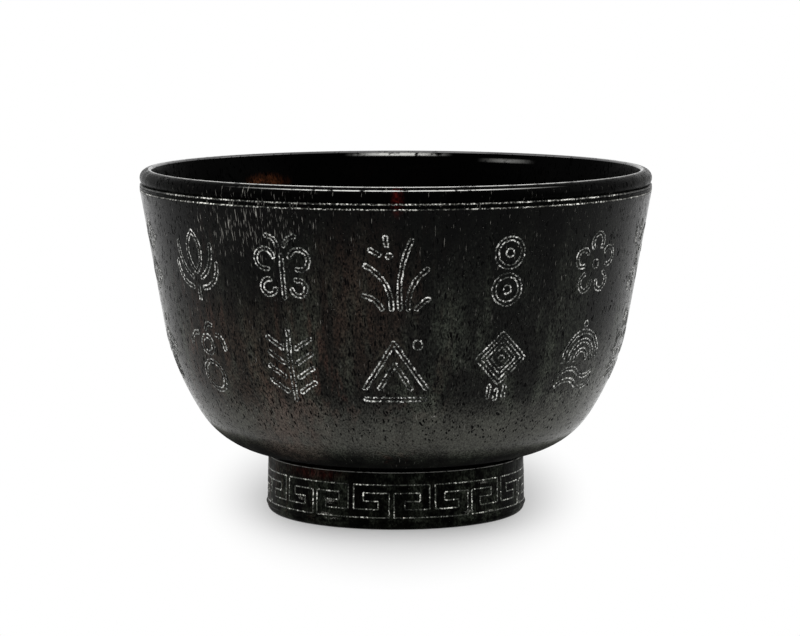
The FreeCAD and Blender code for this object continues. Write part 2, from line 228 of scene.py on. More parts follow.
def scattered(tree, place, spacing):
    # cells about as far apart as the spacing: how far the middle is, and a chance for each cell
    inverse = tuple(1 / gap for gap in spacing)
    feeds = {"Vector": stretched(tree, place, inverse), "Scale": 1.0, "Randomness": 1.0}
    cells = addNode(tree, "ShaderNodeTexVoronoi", feeds).outputs
    chance = addNode(tree, "ShaderNodeSeparateColor", {0: cells["Color"]}).outputs[0]
    return cells["Distance"], chance


def alongWall(tree, place, height):
    # coordinates that don't change down the leaning wall, except for the height
    flat = vectorMaths(tree, "MULTIPLY", place, (1, 1, 0))
    radius = vectorMaths(tree, "LENGTH", flat)
    around = scaledVector(tree, flat, maths(tree, "DIVIDE", woodMarks["wallRadius"], radius))
    return vectorMaths(tree, "ADD", around, combine(tree, 0.0, 0.0, height))


def paintedHighlightLine(tree, place, height, level, halfWidth, strength, centre, size):
    # a painted highlight: a broken pale line along an edge, strongest at one place
    off = maths(tree, "ABSOLUTE", maths(tree, "SUBTRACT", height, level))
    line = ramp(tree, off, halfWidth, halfWidth * woodMarks["lineCore"])
    broken = ramp(tree, noise(tree, place, **woodMarks["breaks"]), *woodMarks["unbroken"])
    return product(tree, line, broken, product(tree, spot(tree, place, centre, size), strength))


def woodColour(tree, place, axes, tilted, grain, look):
    # slow bands and patches of colour, drawn out along the grain
    olive = ramp(tree, grain["bands"], *woodMarks["oliveBands"])
    colour = blendColours(tree, olive, look["nearBlack"], look["olive"])
    mottle = ramp(tree, grain["mottle"], *woodMarks["mottle"], 1 - look["mottle"], 1 + look["mottle"])
    colour = scaledVector(tree, colour, mottle)
    red = product(
        tree,
        ramp(tree, grain["patches"], *woodMarks["redPatches"]),
        ramp(tree, grain["streaks"], *woodMarks["redStreaks"]),
        ramp(tree, axes["X"], *woodMarks["redSide"], look["redness"], 0),
    )
    colour = blendColours(tree, red, colour, look["redBrown"])
    fibres = ramp(tree, grain["fibres"], *woodMarks["darkFibres"])
    colour = blendColours(tree, fibres, colour, look["nearBlack"])

    # painted shade and light by height and on the underside, then the belly's painted light, stains and
    # patches of painted sheen, and sanding
    paintedShades = [
        ramp(tree, axes["Z"], *look["paintedShadeHeights"], *look["paintedShade"]),
        ramp(tree, axes["Z"], *woodMarks["lip"], 1.0, look["paintedLipShade"]),
        ramp(tree, tilted, *woodMarks["underside"], look["paintedUnderShade"], 1.0),
    ]
    for paintedShade in paintedShades:
        colour = scaledVector(tree, colour, paintedShade)
    bellyLight = product(
        tree,
        ramp(tree, axes["Z"], *woodMarks["bellyLightTop"]),
        ramp(tree, tilted, *woodMarks["bellyLightFoot"]),
        ramp(tree, grain["bands"], *woodMarks["bellyLightBands"]),
        look["paintedBellyLightAndRoughness"],
    )
    colour = blendColours(tree, bellyLight, colour, look["paintedBellyLight"])
    streaks = ramp(tree, grain["streaks"], *woodMarks["patchStreaks"])
    # stains, and patches of painted sheen and reflection, each from a material's list
    for centre, size, strength, patchColour in look["stainsAndPaintedLight"]:
        patch = product(tree, spot(tree, place, centre, size), strength, streaks)
        colour = blendColours(tree, patch, colour, patchColour)
    sanded = scaledVector(tree, colour, ramp(tree, grain["sand"], *woodMarks["sanded"]))
    return blendColours(tree, product(tree, bellyLight, woodMarks["sandHidden"]), sanded, colour)


def openVessels(tree, place, tilted, grain, look):
    # dark dashes along the grain on the wall, and dots where the grain is cut across
    moved = vectorMaths(tree, "ADD", place, product(tree, grain["wander"], woodMarks["wander"]))
    distance, chance = scattered(tree, moved, look["poreSize"])
    reach = ramp(tree, chance, *woodMarks["poreReach"])
    pores = ramp(tree, maths(tree, "SUBTRACT", reach, distance), *woodMarks["poreEdge"])
    return product(tree, pores, ramp(tree, tilted, *woodMarks["poresShown"]))


def paleResidue(tree, place, height, look):
    # scratches filled with dust, most of them under the rim at the left of the front
    scratches = noise(tree, alongWall(tree, place, height), **woodMarks["scratches"])
    worn = product(
        tree, spot(tree, place, *woodMarks["wornSpot"]), ramp(tree, height, *woodMarks["wornHeights"]),
        woodMarks["wornStrength"],
    )
    residue = ramp(tree, maths(tree, "ADD", scratches, worn), *woodMarks["scratched"])
    residue = product(tree, residue, look["rimScratches"])

    # specks everywhere, and scuffs at the places given
    distance, chance = scattered(tree, place, woodMarks["speckSpacing"])
    specks = ramp(tree, distance, ramp(tree, chance, *woodMarks["speckSizes"]), woodMarks["speckCore"])
    residue = maths(tree, "MAXIMUM", residue, product(tree, specks, look["specks"]))
    grit = noise(tree, place, **woodMarks["grit"])
    for centre, size in look["scuffs"]:
        near = spot(tree, place, centre, size)
        scuff = maths(tree, "MULTIPLY_ADD", near, woodMarks["scuffStrength"], grit)
        residue = maths(tree, "MAXIMUM", residue, ramp(tree, scuff, *woodMarks["gritShown"]))
    return residue


def rosewood(name, look):
    material, tree, shader, place = newMaterial(name, look["olive"][:3])
    grain = {kind: noise(tree, place, **settings) for kind, settings in woodPatterns.items()}
    axes = separate(tree, place)
    height = axes["Z"]
    tilted = maths(tree, "MULTIPLY_ADD", axes["X"], woodMarks["tilt"], height)
    pores = openVessels(tree, place, tilted, grain, look)

    colour = woodColour(tree, place, axes, tilted, grain, look)
    colour = blendColours(tree, pores, colour, look["openVessel"])
    colour = blendColours(tree, paleResidue(tree, place, height, look), colour, look["residue"])
    # painted highlights along edges
    for highlight in look["paintedHighlights"]:
        line = paintedHighlightLine(tree, place, height, *highlight)
        colour = blendColours(tree, line, colour, look["paintedHighlightColour"])
    feed(tree, colour, shader.inputs["Base Color"])

    rough = ramp(tree, grain["polish"], *woodMarks["polished"], *look["roughness"])
    rough = maths(tree, "ADD", rough, product(tree, pores, woodMarks["poreRoughness"]))
    dryRough = ramp(tree, tilted, *woodMarks["dryRoughness"], 0, look["paintedBellyLightAndRoughness"])
    feed(tree, maths(tree, "ADD", rough, dryRough), shader.inputs["Roughness"])
    shader.inputs["Specular IOR Level"].default_value = look["gloss"]

    # fibres stand a little, the turning left a faint ripple, and vessels are open
    relief = 0.0
    for kind, strength in woodMarks["relief"].items():
        relief = maths(tree, "ADD", relief, product(tree, grain[kind], strength))
    relief = maths(tree, "SUBTRACT", relief, pores)
    bump = addNode(tree, "ShaderNodeBump", {"Height": relief, "Distance": look["poreDepth"] * mm})
    feed(tree, bump.outputs[0], shader.inputs["Normal"])
    return material


silverLook = {
    "bright": (0.97, 0.97, 0.93, 1),
    "dull": (0.10, 0.105, 0.095, 1),
    "black": (0.005, 0.0055, 0.005, 1),
    "dullFrom": (0.56, 0.80),  # lower means more of the wire is dull
    "blackFrom": (0.46, 0.55),  # lower means more of it has gone black
    "dents": {"scale": 2.6, "detail": 3.0, "rough": 0.6},
    "blotches": {"scale": 0.45, "rough": 0.6},
    "grains": {"scale": (3.4, 3.4, 3.4), "shift": (7, 1, 4)},
    "blotchesInDull": 0.5,
    "blotchesInBlack": 0.35,
    "roughness": (0.28, 0.55),
    "dented": (0.3, 0.7),  # the dents between which the roughness changes
    "dentDepth": 0.045,
    "gloss": 0.1,
    "paintedSideShade": 0.0,  # painted shade: how black the upper hoop is at the cup's left and right sides
    "sidesFrom": (34.5, 38.0),  # x, from where it starts to where it is full
    "upperHoopFrom": (53.1, 53.3),  # height, above the lower hoop
}


def hammeredSilver(name, look):
    material, tree, shader, place = newMaterial(name, look["bright"][:3])
    dents = noise(tree, place, **look["dents"])
    blotches = noise(tree, place, **look["blotches"])
    dull = maths(tree, "ADD", dents, product(tree, blotches, look["blotchesInDull"]))
    dull = ramp(tree, dull, *look["dullFrom"])
    colour = blendColours(tree, dull, look["bright"], look["dull"])

    # tarnish in grains, and painted shade on the upper hoop at the cup's left and right sides
    grains = noise(tree, place, **look["grains"])
    spread = product(tree, maths(tree, "SUBTRACT", blotches, noiseMean), look["blotchesInBlack"])
    black = ramp(tree, maths(tree, "ADD", grains, spread), *look["blackFrom"])
    axes = separate(tree, place)
    sideShade = ramp(tree, maths(tree, "ABSOLUTE", axes["X"]), *look["sidesFrom"], 0.0, look["paintedSideShade"])
    sideShade = product(tree, sideShade, ramp(tree, axes["Z"], *look["upperHoopFrom"]))
    black = maths(tree, "MAXIMUM", black, sideShade)
    colour = blendColours(tree, black, colour, look["black"])
    feed(tree, colour, shader.inputs["Base Color"])
    feed(tree, maths(tree, "SUBTRACT", 1.0, black), shader.inputs["Metallic"])

    feed(tree, ramp(tree, dents, *look["dented"], *look["roughness"]), shader.inputs["Roughness"])
    shader.inputs["Specular IOR Level"].default_value = look["gloss"]
    bump = addNode(tree, "ShaderNodeBump", {"Height": dents, "Distance": look["dentDepth"] * mm})
    feed(tree, bump.outputs[0], shader.inputs["Normal"])
    return material


everywhere = ((0, 0, 0), (900, 900, 900))  # a spot so wide that it covers the cup
# painted highlights along the lip at the front: its shoulder and its crest
lipHighlights = [
    (55.69, 0.09, 2.0, (0, -41, 55.7), (28, 40, 9)),
    (56.2, 0.07, 1.2, (0, -41, 56), (60, 60, 20)),
]
# the red mark under the lip, at the middle of the front
rimMark = ((0.3, -41, 54.2), (1.25, 4, 3.2), 1.2, (0.045, 0.004, 0.003, 1))
outsideWood = rosewood("rosewoodOutside", {
    **rosewoodLook,
    "stainsAndPaintedLight": [
        ((-26, -28, 27), (26, 26, 18), 0.55, (0.036, 0.024, 0.017, 1)),
        # a warm stain on the lower left of the belly, painted as light as the painted light there
        ((-17, -30, 16), (9, 14, 11), 0.7, (0.100, 0.074, 0.062, 1)),
        ((-5, -38, 38), (11, 14, 18), 0.5, (0.030, 0.0175, 0.0125, 1)),
        # painted sheen on the right of the belly
        ((33, -14, 19), (20, 24, 17), 0.7, (0.105, 0.105, 0.095, 1)),
        # near black at the upper left of the front
        ((-23, -34, 43), (12, 14, 12), 1.2, (0.0012, 0.0012, 0.0010, 1)),
        rimMark,
    ],
    "scuffs": [((-11, -33.5, 18.6), (1.6, 3, 1.0)), ((6, -34.5, 20.2), (1.2, 3, 0.6))],
})
insideWood = rosewood("rosewoodInside", {
    **rosewoodLook, "nearBlack": (0.0028, 0.0023, 0.0019, 1), "olive": (0.0100, 0.0082, 0.0063, 1),
    # painted shade near the rim inside, and painted light lower down
    "gloss": 0.006, "roughness": (0.2, 0.35), "paintedShade": (0.03, 3.2), "paintedShadeHeights": (47, 20),
    "paintedUnderShade": 1.0, "mottle": 0.15, "redness": 0.5, "paintedBellyLightAndRoughness": 0.0,
    # a painted warm reflection on the inner wall at the back left
    "stainsAndPaintedLight": [((-22.5, 32.0, 51.3), (5.5, 6, 2.0), 0.7, (0.070, 0.022, 0.008, 1))],
    # painted highlights on the inner edge at the back
    "paintedHighlights": [
        (55.6, 0.35, 1.3, (0.5, 40, 55.5), (10, 6, 3)),
        (54.8, 0.45, 0.25, (19.5, 35, 54.8), (6, 6, 3)),
    ],
    "rimScratches": 0.0, "specks": 0.0,
})
rollWood = rosewood("rosewoodRoll", {
    **rosewoodLook, "gloss": 0.010, "roughness": (0.15, 0.35), "stainsAndPaintedLight": [rimMark],
    "paintedHighlights": lipHighlights,
})
lipWood = rosewood("rosewoodLip", {
    **rosewoodLook, "gloss": 1.0, "roughness": (0.04, 0.18), "poreDepth": 0.02, "paintedBellyLightAndRoughness": 0.0,
    "paintedHighlights": lipHighlights, "rimScratches": 0.0, "specks": 0.0,
})
footWood = rosewood("rosewoodFoot", {
    **rosewoodLook, "nearBlack": (0.0012, 0.0012, 0.0010, 1), "olive": (0.012, 0.014, 0.0105, 1),
    "gloss": 0.009, "roughness": (0.3, 0.5), "paintedShade": (1.0, 1.0), "paintedUnderShade": 1.0, "mottle": 0.9,
    "paintedBellyLightAndRoughness": 0.0, "rimScratches": 0.0,
    # a painted highlight round the foot's top edge
    "paintedHighlightColour": (0.35, 0.35, 0.33, 1), "specks": 0.7, "paintedHighlights": [(9.27, 0.07, 1.0, *everywhere)],
    "stainsAndPaintedLight": [((-14, -16, 8.6), (9, 9, 1.6), 0.8, (0.022, 0.004, 0.003, 1))],
    "residue": (0.20, 0.20, 0.18, 1),
    "scuffs": [
        ((-10, -18, 1.6), (2.2, 3, 0.35)), ((-10.5, -18.2, 4.4), (1.6, 3, 0.8)),
        ((-15.1, -14.6, 4.2), (1.3, 2, 0.6)), ((-11.1, -17.8, 2.3), (2.0, 3, 0.4)),
        ((11.6, -17.5, 2.5), (1.5, 3, 0.5)), ((15.2, -14.5, 2.2), (1.3, 3, 0.3)),
        ((14.0, -15.6, 6.9), (1.6, 3, 0.4)),
    ],
})
inlaySilver = hammeredSilver("inlaySilver", silverLook)
hoopSilver = hammeredSilver("hoopSilver", {
    **silverLook, "bright": (0.75, 0.75, 0.70, 1), "dull": (0.08, 0.08, 0.07, 1),
    # painted shade at the left and right sides of the upper hoop
    "blackFrom": (0.46, 0.56), "paintedSideShade": 0.9,
})
fretSilver = hammeredSilver("fretSilver", {
    **silverLook, "bright": (0.90, 0.90, 0.83, 1), "dull": (0.060, 0.065, 0.054, 1),
    "dullFrom": (0.52, 0.74), "blackFrom": (0.49, 0.60),
})
print("finishes made")


# Geometry Nodes trees

def newTree(name, settings):
    tree = bpy.data.node_groups.new(name, "GeometryNodeTree")
    tree.interface.new_socket("Geometry", in_out="INPUT", socket_type="NodeSocketGeometry")
    for label, kind in settings:
        tree.interface.new_socket(label, in_out="INPUT", socket_type="NodeSocket" + kind)
    tree.interface.new_socket("Geometry", in_out="OUTPUT", socket_type="NodeSocketGeometry")
    return tree, tree.nodes.new("NodeGroupInput").outputs


def closeTree(tree, geometry):
    tree.links.new(geometry, tree.nodes.new("NodeGroupOutput").inputs[0])


def paint(tree, geometry, finish, chosen=True):
    feeds = {"Geometry": geometry, "Selection": chosen, "Material": finish}
    return addNode(tree, "GeometryNodeSetMaterial", feeds).outputs[0]


def greater(tree, value, level):
    feeds = {0: value, 1: level}
    options = {"data_type": "FLOAT", "operation": "GREATER_THAN"}
    return addNode(tree, "FunctionNodeCompare", feeds, **options).outputs[0]


def smoothed(tree, geometry, sharpAngle):
    geometry = addNode(tree, "GeometryNodeSetShadeSmooth", {"Geometry": geometry}).outputs[0]
    angle = addNode(tree, "GeometryNodeInputMeshEdgeAngle").outputs["Unsigned Angle"]
    sharp = greater(tree, angle, sharpAngle)
    feeds = {"Geometry": geometry, "Selection": sharp, "Shade Smooth": False}
    return addNode(tree, "GeometryNodeSetShadeSmooth", feeds, domain="EDGE").outputs[0]


def positions(tree):
    return addNode(tree, "GeometryNodeInputPosition").outputs[0]


def movedBy(tree, geometry, offset):
    feeds = {"Geometry": geometry, "Offset": offset}
    return addNode(tree, "GeometryNodeSetPosition", feeds).outputs[0]


def movedTo(tree, geometry, place):
    feeds = {"Geometry": geometry, "Position": place}
    return addNode(tree, "GeometryNodeSetPosition", feeds).outputs[0]


def merged(tree, geometry, distance):
    feeds = {"Geometry": geometry, "Distance": distance}
    return addNode(tree, "GeometryNodeMergeByDistance", feeds).outputs[0]


def centredNoise(tree, scale, seed, detail=1.0, rough=0.7):
    # three noises of the place as one vector, each about 0 on average
    moved = vectorMaths(tree, "ADD", positions(tree), combine(tree, seed, seed, seed))
    feeds = {"Vector": moved, "Scale": scale, "Detail": detail, "Roughness": rough}
    pattern = addNode(tree, "ShaderNodeTexNoise", feeds).outputs["Color"]
    return vectorMaths(tree, "SUBTRACT", pattern, (noiseMean, noiseMean, noiseMean))


def shaken(tree, geometry, amount, scale, seed):
    # moves every point a little sideways, by noise that depends only on where it is
    level = vectorMaths(tree, "MULTIPLY", centredNoise(tree, scale, seed), (1, 1, 0))
    return movedBy(tree, geometry, scaledVector(tree, level, amount))


def roundAxis(tree, radius, angle, height):
    # the point at a radius and height, with the angle counted from the cup's front
    across = product(tree, radius, maths(tree, "SINE", angle))
    ahead = product(tree, radius, maths(tree, "COSINE", angle))
    return combine(tree, across, product(tree, ahead, -1.0), height)


def sampled(tree, kind, geometry, value, index):
    feeds = {"Geometry": geometry, "Value": value, "Index": index}
    options = {"data_type": kind, "domain": "POINT"}
    return addNode(tree, "GeometryNodeSampleIndex", feeds, **options).outputs[0]


def wholeMaths(tree, operation, first, second):
    feeds = {0: first, 1: second}
    return addNode(tree, "FunctionNodeIntegerMath", feeds, operation=operation).outputs[0]


latheMerge = 0.001  # points closer than this many millimetres become one
zoneNumbers = {"Inner finish": 1, "Lip finish": 2, "Roll finish": 3}  # all else has the outer finish


def latheTree():
    # turns an outline round the cup's axis: the outline's points give radius and height
    tree, given = newTree("turnedOnLathe", [
        ("Steps round", "Int"), ("Unevenness", "Float"), ("Grain of unevenness", "Float"),
        ("Seed", "Float"), ("Sharp angle", "Float"), ("Outer finish", "Material"),
        ("Inner finish", "Material"), ("Lip finish", "Material"), ("Roll finish", "Material"),
    ])
    outline = given["Geometry"]
    count = addNode(tree, "GeometryNodeAttributeDomainSize", {"Geometry": outline}).outputs[0]
    columns = wholeMaths(tree, "ADD", given["Steps round"], 1)
    feeds = {"Vertices X": columns, "Vertices Y": count}
    grid = addNode(tree, "GeometryNodeMeshGrid", feeds).outputs["Mesh"]
    index = addNode(tree, "GeometryNodeInputIndex").outputs[0]
    along = wholeMaths(tree, "MODULO", index, count)
    step = wholeMaths(tree, "DIVIDE_FLOOR", index, count)
    angle = product(tree, maths(tree, "DIVIDE", step, given["Steps round"]), fullTurn)

    zone = addNode(
        tree, "GeometryNodeInputNamedAttribute", {"Name": "zone"}, data_type="FLOAT",
    ).outputs[0]
    zoneThere = sampled(tree, "FLOAT", outline, zone, along)
    feeds = {"Geometry": grid, "Name": "zone", "Value": zoneThere}
    options = {"data_type": "FLOAT", "domain": "POINT"}
    marked = addNode(tree, "GeometryNodeStoreNamedAttribute", feeds, **options).outputs[0]

    parts = separate(tree, sampled(tree, "FLOAT_VECTOR", outline, positions(tree), along))
    turned = movedTo(tree, marked, roundAxis(tree, parts["X"], angle, parts["Z"]))
    closed = merged(tree, turned, latheMerge * mm)
    scale, seed = given["Grain of unevenness"], given["Seed"]
    shaped = shaken(tree, closed, given["Unevenness"], scale, seed)
    painted = paint(tree, smoothed(tree, shaped, given["Sharp angle"]), given["Outer finish"])
    # each of these finishes covers the zone of its own number and any higher one
    for finish, number in zoneNumbers.items():
        painted = paint(tree, painted, given[finish], greater(tree, zone, number - 0.5))
    closeTree(tree, painted)
    return tree


def makePiece(name, startMesh, tree, values):
    piece = bpy.data.objects.new(name, startMesh)
    bpy.context.scene.collection.objects.link(piece)
    modifier = piece.modifiers.new(tree.name, "NODES")
    modifier.node_group = tree
    for socket in tree.interface.items_tree:
        if socket.name in values:
            modifier[socket.identifier] = values[socket.name]
    bpy.context.view_layer.update()
    shape = piece.evaluated_get(bpy.context.evaluated_depsgraph_get())
    plain = bpy.data.meshes.new_from_object(shape)
    piece.modifiers.clear()
    piece.data = plain
    plain.name = name
    triangles = sum(len(face.vertices) - 2 for face in plain.polygons)
    print(name, "made:", triangles, "triangles")
    return piece


def outlineMesh(name, points, zones=()):
    # zones gives each stretch with a finish of its own: its first point, the one after it, its number
    mesh = bpy.data.meshes.new(name)
    runs = [(i, i + 1) for i in range(len(points) - 1)]
    mesh.from_pydata([(p.x * mm, 0, p.y * mm) for p in points], runs, [])
    mark = mesh.attributes.new("zone", "FLOAT", "POINT")
    for first, last, number in zones:
        for i in range(first, last):
            mark.data[i].value = number
    return mesh


# Outlines: x is the radius and y the height, in millimetres

def at(radius, height):
    return Vector((radius, height))


def straight(start, end, count):
    return [start.lerp(end, i / count) for i in range(count + 1)]


def roundFrom(hub, radius, startAngle, endAngle, count):
    angles = [startAngle + (endAngle - startAngle) * i / count for i in range(count + 1)]
    return [hub + at(math.cos(a), math.sin(a)) * radius for a in angles]


def roundBetween(hub, radius, start, end, count):
    # the shorter way round the hub
    startAngle = math.atan2(start.y - hub.y, start.x - hub.x)
    endAngle = math.atan2(end.y - hub.y, end.x - hub.x)
    while endAngle - startAngle > math.pi:
        endAngle -= fullTurn
    while endAngle - startAngle < -math.pi:
        endAngle += fullTurn
    return roundFrom(hub, radius, startAngle, endAngle, count)


def tangentRound(start, heading, end, count):
    # the arc that leaves start along heading and reaches end, and its heading there
    chord = end - start
    along = chord.normalized()
    bend = heading.angle(along)
    radius = chord.length / 2 / math.sin(bend)
    hub = start + sideways(heading, along) * radius
    endHeading = along * (2 * heading.dot(along)) - heading
    return roundBetween(hub, radius, start, end, count), endHeading


def sideways(heading, along):
    # the unit direction square to heading, on the side that along leans to
    left = at(-heading.y, heading.x)
    return left if left.dot(along) > 0 else -left


def softCorner(before, corner, after, radius, count):
    back = (before - corner).normalized()
    ahead = (after - corner).normalized()
    half = back.angle(ahead) / 2
    start = corner + back * (radius / math.tan(half))
    hub = corner + (back + ahead).normalized() * (radius / math.sin(half))
    end = corner + ahead * (radius / math.tan(half))
    return roundBetween(hub, radius, start, end, count)


samePlace = 0.002  # a point closer than this to the one before is left out


def joinRuns(*runs):
    points = []
    for run in runs:
        for stop in run:
            if not points or (stop - points[-1]).length > samePlace:
                points.append(stop)
    return points


# The bowl

bowl = {
    "height": 56.2,
    "wallTop": at(41.6, 52.7),
    "lean": 10.0,  # degrees
    "coneEndHeight": 31.5,
    "ballEndHeight": 21.4,
    "belly": at(32.03, 16.747),
    "underside": at(20.469, 10.0),
    "wall": 2.6,
    "lipRadius": 41.64,
    "lipRound": 1.4,
    "lipHeight": 2.45,
    "innerLipRadius": 39.8,
    "innerLipRound": 0.4,
    "beadRadius": 41.64,
    "hoopWidth": 0.26,
    "grooveDepth": 0.35,
    "grooveRoom": 0.035,  # dark gap on each side of a hoop
    "softEdge": 0.05,
    "tenonRadius": 19.0,
    "tenonFoot": 4.9,
    "hollowRadius": 17.0,
    "hollowDepth": 0.7,
    "unevenness": 0.012,
    "grain": 0.25,  # repeats of the unevenness in a millimetre
    "seed": 0.31,
    "sharpAngle": 38,  # edges that turn more than this many degrees stay sharp
    "stepsRound": 300,
    "steps": {
        "cone": 16, "ball": 14, "belly": 12, "under": 16, "roll": 18, "mouth": 6,
        "mouthSlope": 4, "floor": 10, "hollow": 8,
    },
}


def bowlWall():
    # the outside, from the lower hoop's groove down to the tenon
    steps = bowl["steps"]
    lean = math.radians(bowl["lean"])
    drop = bowl["wallTop"].y - bowl["coneEndHeight"]
    shoulder = bowl["wallTop"] - at(math.tan(lean), 1) * drop
    hub = at(0, shoulder.y + shoulder.x * math.tan(lean))
    ballRadius = shoulder.x / math.cos(lean)
    ballEnd = -math.asin((hub.y - bowl["ballEndHeight"]) / ballRadius)
    cone = straight(bowl["wallTop"], shoulder, steps["cone"])
    ball = roundFrom(hub, ballRadius, -lean, ballEnd, steps["ball"])
    heading = at(math.sin(ballEnd), -math.cos(ballEnd))
    belly, heading = tangentRound(ball[-1], heading, bowl["belly"], steps["belly"])
    under = tangentRound(bowl["belly"], heading, bowl["underside"], steps["under"])[0]
    return joinRuns(cone, ball, belly, under)


def insideOf(outside, wall):
    # the same line, moved inwards by the wall's thickness
    inside = []
    for i, stop in enumerate(outside):
        before = outside[max(i - 1, 0)]
        after = outside[min(i + 1, len(outside) - 1)]
        run = (after - before).normalized()
        inside.append(stop + at(run.y, -run.x) * wall)
    return inside


def bowlOutline():
    steps = bowl["steps"]
    outside = bowlWall()
    inside = insideOf(outside, bowl["wall"])

    lipHub = at(bowl["lipRadius"] - bowl["lipRound"], bowl["height"] - bowl["lipRound"])
    drop = math.asin((bowl["lipHeight"] - bowl["lipRound"]) / bowl["lipRound"])
    roll = roundFrom(lipHub, bowl["lipRound"], -drop, math.pi / 2, steps["roll"])
    mouth = at(bowl["innerLipRadius"], bowl["height"])
    edge = softCorner(roll[-1], mouth, inside[0], bowl["innerLipRound"], steps["mouth"])

    gap, bead, soft = bowl["grooveRoom"], bowl["beadRadius"], bowl["softEdge"]
    wallTop = bowl["wallTop"]
    lipFoot = bowl["height"] - bowl["lipHeight"]
    grooveRadius = wallTop.x - bowl["grooveDepth"]
    beadFoot = wallTop.y + bowl["hoopWidth"] + gap
    beadTop = lipFoot - bowl["hoopWidth"] - gap
    lowGroove = [at(wallTop.x, wallTop.y - gap), at(grooveRadius, wallTop.y - gap)]
    beadRun = [
        at(grooveRadius, beadFoot), at(bead - soft, beadFoot), at(bead, beadFoot + soft),
        at(bead, beadTop - soft), at(bead - soft, beadTop), at(grooveRadius, beadTop),
    ]
    highGroove = [at(grooveRadius, lipFoot + gap)]
    rise = list(reversed(outside))
    rise[-1] = lowGroove[0] - at(0, soft)

    hollow = []
    for i in range(steps["hollow"] + 1):
        share = i / steps["hollow"]
        lift = bowl["hollowDepth"] * (1 - share ** 2)
        hollow.append(at(bowl["hollowRadius"] * share, bowl["tenonFoot"] + lift))
    tenonRadius = bowl["tenonRadius"]
    tenon = [at(tenonRadius, bowl["tenonFoot"]), at(tenonRadius, bowl["underside"].y)]
    outer = joinRuns(hollow, tenon, rise, lowGroove, beadRun, highGroove, roll, edge)
    slope = straight(edge[-1], inside[0], steps["mouthSlope"])[1:]
    floorRun = straight(inside[-1], at(0, inside[-1].y), steps["floor"])
    points = outer + joinRuns(slope, inside, floorRun)

    edgeStart = len(outer) - len(edge)
    rollStart = edgeStart - len(beadRun + highGroove + roll)
    zones = [
        (rollStart, edgeStart, zoneNumbers["Roll finish"]),
        (edgeStart, len(outer), zoneNumbers["Lip finish"]),
        (len(outer), len(points), zoneNumbers["Inner finish"]),
    ]
    return points, zones


lathe = latheTree()
bowlPiece = makePiece("turnedBowl", outlineMesh("bowlOutline", *bowlOutline()), lathe, {
    "Steps round": bowl["stepsRound"],
    "Unevenness": bowl["unevenness"] * mm,
    "Grain of unevenness": bowl["grain"] / mm,
    "Seed": bowl["seed"],
    "Sharp angle": math.radians(bowl["sharpAngle"]),
    "Outer finish": outsideWood,
    "Inner finish": insideWood,
    "Lip finish": lipWood,
    "Roll finish": rollWood,
})
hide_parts("cup_bowl")


# The foot ring

foot = {
    "height": 9.35,
    "topRadius": 20.95,
    "lowRadius": 21.1,
    "boreRadius": 17.6,
    "seatRadius": 19.05,
    "seatHeight": 4.9,
    "topRound": 0.2,
    "beadRadius": 21.3,
    "bead": (1.15, 1.85),
    "baseRound": 1.15,
    "mouthBevel": 0.6,
    "unevenness": 0.012,
    "grain": 0.3,
    "seed": 0.47,
    "sharpAngle": 38,
    "stepsRound": 240,
    "steps": {"base": 10, "bead": 8, "wall": 12, "top": 5},
}


def footRadius(height):
    # the ring widens a little towards its base
    share = (height - foot["bead"][1]) / (foot["height"] - foot["bead"][1])
    return foot["lowRadius"] + share * (foot["topRadius"] - foot["lowRadius"])


def footOutline():
    steps = foot["steps"]
    low, high = foot["bead"]
    bore, bevel, seat = foot["boreRadius"], foot["mouthBevel"], foot["seatRadius"]
    baseCorner = at(footRadius(low), 0)
    topCorner = at(footRadius(foot["height"]), foot["height"])
    beadRise = foot["beadRadius"] - footRadius((low + high) / 2)
    base = softCorner(at(bore, 0), baseCorner, at(baseCorner.x, low), foot["baseRound"], steps["base"])
    bead = []
    for i in range(steps["bead"] + 1):
        height = low + (high - low) * i / steps["bead"]
        swell = beadRise * math.sin(math.pi * i / steps["bead"])
        bead.append(at(footRadius(height) + swell, height))
    wall = straight(bead[-1], topCorner, steps["wall"])
    top = softCorner(wall[-2], topCorner, at(seat, foot["height"]), foot["topRound"], steps["top"])
    counterbore = [at(seat, foot["height"]), at(seat, foot["seatHeight"])]
    hole = [at(bore, foot["seatHeight"]), at(bore, bevel), at(bore + bevel, 0)]
    run = joinRuns(base, bead, wall[:-1], top, counterbore, hole)
    return run + [run[0].copy()]


footPiece = makePiece("turnedFoot", outlineMesh("footOutline", footOutline()), lathe, {
    "Steps round": foot["stepsRound"],
    "Unevenness": foot["unevenness"] * mm,
    "Grain of unevenness": foot["grain"] / mm,
    "Seed": foot["seed"],
    "Sharp angle": math.radians(foot["sharpAngle"]),
    "Outer finish": footWood,
})
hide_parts("foot_ring")


# Silver hoops round the rim

hoop = {
    "width": 0.26,
    "depth": 0.6,
    "radius": 41.64,
    "softEdge": 0.05,
    "hammering": 0.03,
    "grain": 1.1,
    "sharpAngle": 50,
    "stepsRound": 720,
}


def hoopOutline(top):
    outer, low = hoop["radius"] - hoop["hammering"] / 2, top - hoop["width"]
    inner, soft = outer - hoop["depth"], hoop["softEdge"]
    return [
        at(inner, low), at(outer - soft, low), at(outer, low + soft), at(outer, top - soft),
        at(outer - soft, top), at(inner, top), at(inner, low),
    ]


hoopTops = {
    "upperHoop": (bowl["height"] - bowl["lipHeight"], "rim_wire_upper"),
    "lowerHoop": (bowl["wallTop"].y + bowl["hoopWidth"], "rim_wire_lower"),
}
hoopPieces = []
for name, (top, node) in hoopTops.items():
    piece = makePiece(name, outlineMesh(name, hoopOutline(top)), lathe, {
        "Steps round": hoop["stepsRound"],
        "Unevenness": hoop["hammering"] * mm,
        "Grain of unevenness": hoop["grain"] / mm,
        "Seed": top * mm,
        "Sharp angle": math.radians(hoop["sharpAngle"]),
        "Outer finish": hoopSilver,
    })
    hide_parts(node)
    hoopPieces.append(piece)


